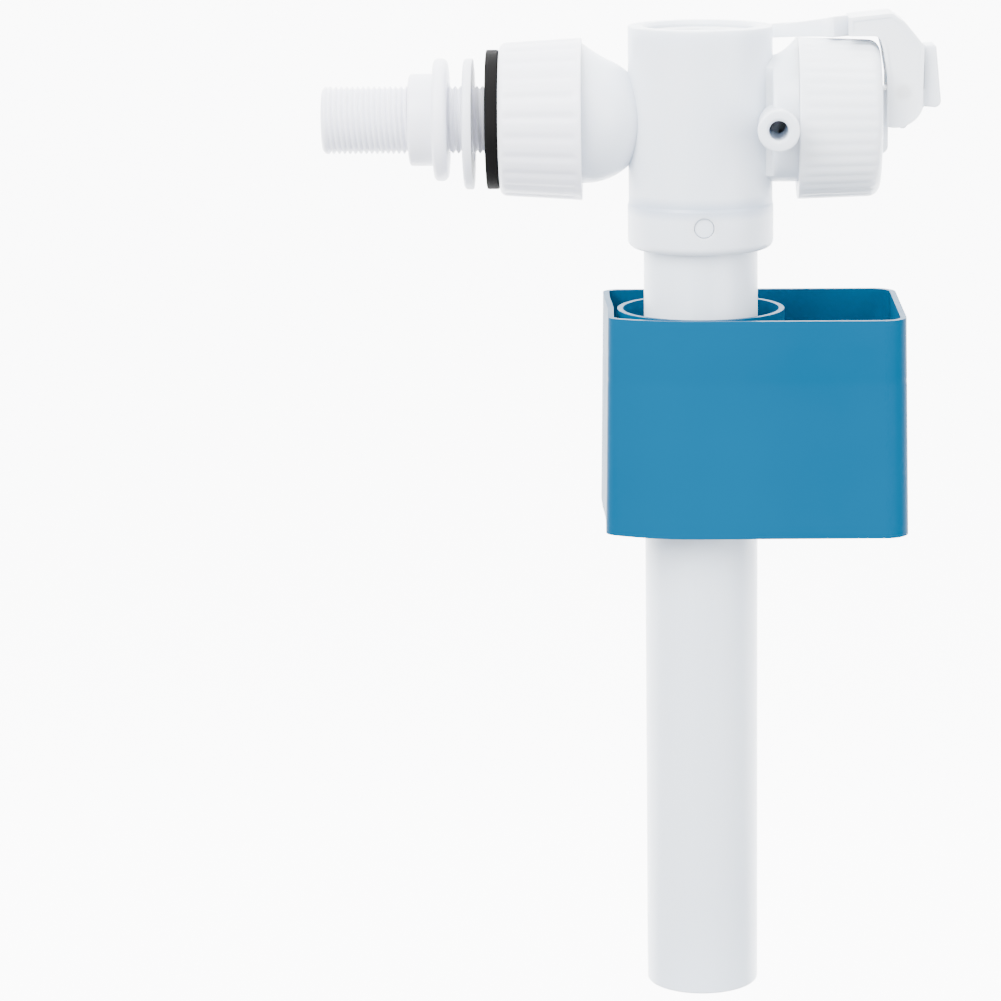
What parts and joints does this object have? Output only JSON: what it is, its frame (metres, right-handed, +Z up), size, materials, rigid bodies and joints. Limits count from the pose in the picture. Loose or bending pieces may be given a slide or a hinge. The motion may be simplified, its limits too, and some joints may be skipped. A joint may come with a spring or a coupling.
{
  "type": "float valve",
  "caption": "Side-inlet cistern float valve: threaded tail with nuts, vertical body with discharge tube, diaphragm head, pilot lever and a box float that slides on the tube.",
  "frame": {"origin": "on the inlet axis, where the rubber washer meets the inside of the cistern wall", "axes": "+X along the inlet axis into the cistern, +Z up, +Y to the back of the cistern"},
  "size_m": [0.1528, 0.0599, 0.249],
  "materials": {
    "tail_white": "satin moulded nylon, slightly bluish white",
    "washer_white": "satin translucent washer plastic",
    "body_white": "satin natural polypropylene, milky and slightly translucent",
    "tube_white": "smooth extruded natural polypropylene, cool milky white",
    "filter_white": "moulded nylon",
    "rubber": "matt black rubber",
    "black_plastic": "satin black acetal",
    "float_blue": "glossy cyan-blue moulded polypropylene",
    "steel": "drawn stainless wire"
  },
  "bodies": {
    "tail": {"inlet_shank": "tail_white", "inlet_filter": "filter_white", "rubber_washer": "rubber", "inlet_seal": "rubber"},
    "loose_washer": {"plain_washer": "washer_white"},
    "wall_nut": {"backnut": "tail_white"},
    "union": {"union_nut": "tail_white"},
    "housing": {"valve_body": "body_white", "top_insert": "body_white", "discharge_tube": "tube_white", "tube_seal": "rubber", "diaphragm": "rubber", "bleed_pin": "steel", "bonnet": "body_white", "pivot_pin": "body_white"},
    "head_nut": {"bonnet_nut": "body_white"},
    "plate": {"diaphragm_plate": "filter_white"},
    "lever": {"float_lever": "body_white", "seal_holder": "body_white", "pilot_seal": "rubber"},
    "link": {"link_block": "black_plastic"},
    "rod": {"adjusting_rod": "black_plastic", "rod_clip": "black_plastic"},
    "float": {"float_cup": "float_blue", "float_nut": "float_blue"}
  },
  "joints": [
    {"name": "backnut_travel", "type": "slide", "parent": "tail", "child": "loose_washer", "axis": [1, 0, 0], "range_m": [-0.0212, 0.0031]},
    {"name": "backnut_turn", "type": "hinge", "parent": "loose_washer", "child": "wall_nut", "pos_m": [0, 0, 0], "axis": [1, 0, 0], "continuous": true},
    {"name": "union_nut_turn", "type": "hinge", "parent": "tail", "child": "union", "pos_m": [0, 0, 0], "axis": [1, 0, 0], "continuous": true},
    {"name": "inlet_swivel", "type": "hinge", "parent": "tail", "child": "housing", "pos_m": [0, 0, 0], "axis": [1, 0, 0], "continuous": true},
    {"name": "bonnet_nut_turn", "type": "hinge", "parent": "housing", "child": "head_nut", "pos_m": [0, 0, 0], "axis": [1, 0, 0], "continuous": true},
    {"name": "diaphragm_lift", "type": "slide", "parent": "housing", "child": "plate", "axis": [1, 0, 0], "range_m": [0, 0.0014], "stiffness_N_per_m": 200},
    {"name": "float_stroke", "type": "slide", "parent": "housing", "child": "link", "axis": [0, 0, 1], "range_m": [0, 0.00845]},
    {"name": "lever_swing", "type": "hinge", "parent": "housing", "child": "lever", "pos_m": [0.1025, 0, 0.007], "axis": [0, 1, 0], "range_deg": [0, 8.05]},
    {"name": "float_height", "type": "slide", "parent": "link", "child": "float", "axis": [0, 0, 1], "range_m": [-0.07, 0.012]},
    {"name": "rod_turn", "type": "hinge", "parent": "link", "child": "rod", "pos_m": [0.043, 0.0244, 0], "axis": [0, 0, 1], "continuous": true}
  ],
  "couplings": [
    {"joint": "backnut_turn", "follows": "backnut_travel", "rad_per_m": 4699.5},
    {"joint": "lever_swing", "follows": "float_stroke", "rad_per_m": 16.524},
    {"joint": "rod_turn", "follows": "float_height", "rad_per_m": -2094.4}
  ]
}
